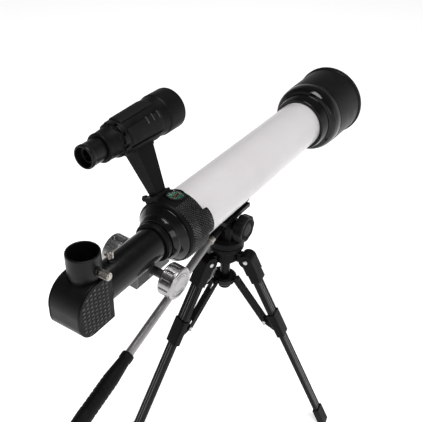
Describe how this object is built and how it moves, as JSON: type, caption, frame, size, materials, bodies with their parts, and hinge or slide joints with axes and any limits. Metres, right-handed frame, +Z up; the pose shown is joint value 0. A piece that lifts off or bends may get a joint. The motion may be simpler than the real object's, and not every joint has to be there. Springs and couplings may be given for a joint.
{
  "type": "telescope on tripod",
  "caption": "Small refracting telescope with a mirror diagonal, rack focuser and finder on a folding table tripod with a pan and tilt head.",
  "frame": {"origin": "bottom centre of the bounding box, on the surface that the feet stand on", "axes": "+Z up, +Y the way the telescope points, +X the observer's right"},
  "size_m": [0.2538, 0.491, 0.4087],
  "materials": {
    "white_paint": "smooth white enamel on a rolled aluminium tube",
    "black_plastic_satin": "satin black moulded plastic",
    "black_plastic_matte": "matte black moulded plastic, knurled in places",
    "black_plastic_gloss": "polished black plastic",
    "black_metal_gloss": "glossy black anodised drawn tube",
    "black_metal_leg": "black anodised extrusion",
    "chrome": "polished chrome",
    "chromed_alloy": "chrome plate on a light alloy",
    "steel": "plain steel",
    "grey_metal": "satin grey metal",
    "rubber": "black rubber",
    "glass": "coated optical glass",
    "mirror": "front-surface mirror",
    "dial_green": "printed green dial",
    "needle_red": "red lacquer"
  },
  "bodies": {
    "base": {"tripod_hub": "black_plastic_satin", "tripod_column": "black_metal_leg"},
    "brace_hub": {"brace_hub": "black_plastic_satin"},
    "head": {"head_fork": "black_plastic_satin", "tilt_bolt": "steel"},
    "tilt": {"head_platform": "black_plastic_satin", "saddle_bar": "black_plastic_satin", "main_tube": "white_paint", "lens_cell": "black_plastic_gloss", "objective_lens": "glass", "dew_shade": "black_plastic_satin", "focuser_housing": "black_plastic_matte", "drawtube_stop_ring": "black_plastic_matte", "pinion_housing": "black_plastic_satin", "compass_dial": "dial_green", "compass_glass": "glass", "finder_body": "black_plastic_matte", "finder_rear_barrel": "black_plastic_matte", "finder_objective": "glass", "finder_stalk": "black_plastic_matte"},
    "tilt_knob": {"tilt_knob": "black_plastic_matte"},
    "handle": {"handle_rod": "grey_metal", "handle_grip": "rubber"},
    "compass_needle": {"compass_needle": "needle_red"},
    "finder_eyepiece": {"finder_eyepiece": "black_plastic_satin", "finder_eye_lens": "glass"},
    "finder_clamp_screw": {"finder_clamp_screw": "black_plastic_satin"},
    "drawtube": {"drawtube": "black_metal_gloss", "focus_rack": "grey_metal"},
    "focus_shaft": {"pinion_shaft": "steel", "focus_knob_right": "chromed_alloy", "focus_knob_left": "chromed_alloy"},
    "diagonal": {"diagonal_body": "black_plastic_satin", "diagonal_cover_right": "black_plastic_matte", "diagonal_cover_left": "black_plastic_matte", "diagonal_mirror": "mirror", "eyepiece_socket": "black_plastic_satin"},
    "eyepiece_thumbscrew": {"eyepiece_thumbscrew": "chrome"},
    "nosepiece_thumbscrew": {"nosepiece_thumbscrew": "chrome"},
    "leg_1": {"leg_1_cap": "black_plastic_satin", "leg_1_rivet": "steel", "leg_1_upper": "black_metal_leg", "leg_1_collar": "black_plastic_satin"},
    "leg_1_lower": {"leg_1_lower": "black_metal_leg", "leg_1_foot": "rubber"},
    "leg_1_brace": {"leg_1_brace": "black_metal_leg"},
    "leg_2": {"leg_2_cap": "black_plastic_satin", "leg_2_rivet": "steel", "leg_2_upper": "black_metal_leg", "leg_2_collar": "black_plastic_satin"},
    "leg_2_lower": {"leg_2_lower": "black_metal_leg", "leg_2_foot": "rubber"},
    "leg_2_brace": {"leg_2_brace": "black_metal_leg"},
    "leg_3": {"leg_3_cap": "black_plastic_satin", "leg_3_rivet": "steel", "leg_3_upper": "black_metal_leg", "leg_3_collar": "black_plastic_satin"},
    "leg_3_lower": {"leg_3_lower": "black_metal_leg", "leg_3_foot": "rubber"},
    "leg_3_brace": {"leg_3_brace": "black_metal_leg"}
  },
  "joints": [
    {"name": "brace_hub_slide", "type": "slide", "parent": "base", "child": "brace_hub", "axis": [0, 0, 1], "range_m": [-0.0001, 0.00947]},
    {"name": "leg_1_fold", "type": "hinge", "parent": "base", "child": "leg_1", "pos_m": [0.01561, 0.00887, 0.21422], "axis": [0.1908, -0.9816, 0], "range_deg": [-26.8, 0]},
    {"name": "leg_1_extend", "type": "slide", "parent": "leg_1", "child": "leg_1_lower", "axis": [0.4426, 0.086, -0.8926], "range_m": [-0.045, 0]},
    {"name": "leg_1_brace_pivot", "type": "hinge", "parent": "leg_1", "child": "leg_1_brace", "pos_m": [0.04008, 0.01363, 0.13382], "axis": [0.1908, -0.9816, 0], "range_deg": [-13.35, 0.05]},
    {"name": "leg_2_fold", "type": "hinge", "parent": "base", "child": "leg_2", "pos_m": [-0.01746, -0.01988, 0.21422], "axis": [-0.9455, 0.3256, 0], "range_deg": [-26.85, 0.05]},
    {"name": "leg_2_extend", "type": "slide", "parent": "leg_2", "child": "leg_2_lower", "axis": [-0.1468, -0.4263, -0.8926], "range_m": [-0.045, 0]},
    {"name": "leg_2_brace_pivot", "type": "hinge", "parent": "leg_2", "child": "leg_2_brace", "pos_m": [-0.02558, -0.04344, 0.13382], "axis": [-0.9455, 0.3256, 0], "range_deg": [-13.35, 0.05]},
    {"name": "leg_3_fold", "type": "hinge", "parent": "base", "child": "leg_3", "pos_m": [-0.0302, 0.01819, 0.21422], "axis": [0.5592, 0.829, 0], "range_deg": [-26.85, 0.05]},
    {"name": "leg_3_extend", "type": "slide", "parent": "leg_3", "child": "leg_3_lower", "axis": [-0.3738, 0.2521, -0.8926], "range_m": [-0.045, 0]},
    {"name": "leg_3_brace_pivot", "type": "hinge", "parent": "leg_3", "child": "leg_3_brace", "pos_m": [-0.05086, 0.03213, 0.13382], "axis": [0.5592, 0.829, 0], "range_deg": [-13.35, 0.05]},
    {"name": "pan", "type": "hinge", "parent": "base", "child": "head", "pos_m": [-0.00922, 0.00404, 0.23222], "axis": [0, 0, 1], "continuous": true},
    {"name": "tilt", "type": "hinge", "parent": "head", "child": "tilt", "pos_m": [-0.00922, -0.00046, 0.25922], "axis": [1, 0, 0], "range_deg": [-40, 22]},
    {"name": "tilt_lock", "type": "hinge", "parent": "head", "child": "tilt_knob", "pos_m": [-0.00922, -0.00046, 0.25922], "axis": [1, 0, 0], "continuous": true},
    {"name": "handle_twist", "type": "hinge", "parent": "tilt", "child": "handle", "pos_m": [-0.00922, -0.00046, 0.26222], "axis": [0, -0.9397, -0.342], "continuous": true},
    {"name": "compass_needle_turn", "type": "hinge", "parent": "tilt", "child": "compass_needle", "pos_m": [-0.00922, -0.08596, 0.33522], "axis": [0, 0, 1], "continuous": true},
    {"name": "finder_focus", "type": "slide", "parent": "tilt", "child": "finder_eyepiece", "axis": [0, 1, 0], "range_m": [-0.004, 0.007]},
    {"name": "finder_clamp_turn", "type": "hinge", "parent": "tilt", "child": "finder_clamp_screw", "pos_m": [-0.0323, -0.09545, 0.32987], "axis": [0.8829, 0, 0.4695], "continuous": true},
    {"name": "focus_travel", "type": "slide", "parent": "tilt", "child": "drawtube", "axis": [0, 1, 0], "range_m": [-0.012, 0.035]},
    {"name": "focus_turn", "type": "hinge", "parent": "tilt", "child": "focus_shaft", "pos_m": [-0.01121, -0.12796, 0.28251], "axis": [0.9962, 0, -0.0872], "range_deg": [-502, 172.5]},
    {"name": "diagonal_turn", "type": "hinge", "parent": "drawtube", "child": "diagonal", "pos_m": [-0.00922, -0.18446, 0.30522], "axis": [0, 1, 0], "continuous": true},
    {"name": "eyepiece_screw_turn", "type": "hinge", "parent": "diagonal", "child": "eyepiece_thumbscrew", "pos_m": [0.00578, -0.20445, 0.33572], "axis": [1, 0, 0], "continuous": true},
    {"name": "nosepiece_screw_turn", "type": "hinge", "parent": "drawtube", "child": "nosepiece_thumbscrew", "pos_m": [-0.00922, -0.17545, 0.32522], "axis": [0, 0, 1], "continuous": true}
  ],
  "couplings": [
    {"joint": "leg_1_brace_pivot", "follows": "leg_1_fold", "ratio": 0.49622},
    {"joint": "leg_2_fold", "follows": "leg_1_fold", "ratio": 1},
    {"joint": "leg_2_brace_pivot", "follows": "leg_1_fold", "ratio": 0.49622},
    {"joint": "leg_3_fold", "follows": "leg_1_fold", "ratio": 1},
    {"joint": "leg_3_brace_pivot", "follows": "leg_1_fold", "ratio": 0.49622},
    {"joint": "brace_hub_slide", "follows": "leg_1_fold", "m_per_rad": -0.019813},
    {"joint": "focus_turn", "follows": "focus_travel", "rad_per_m": -250}
  ]
}
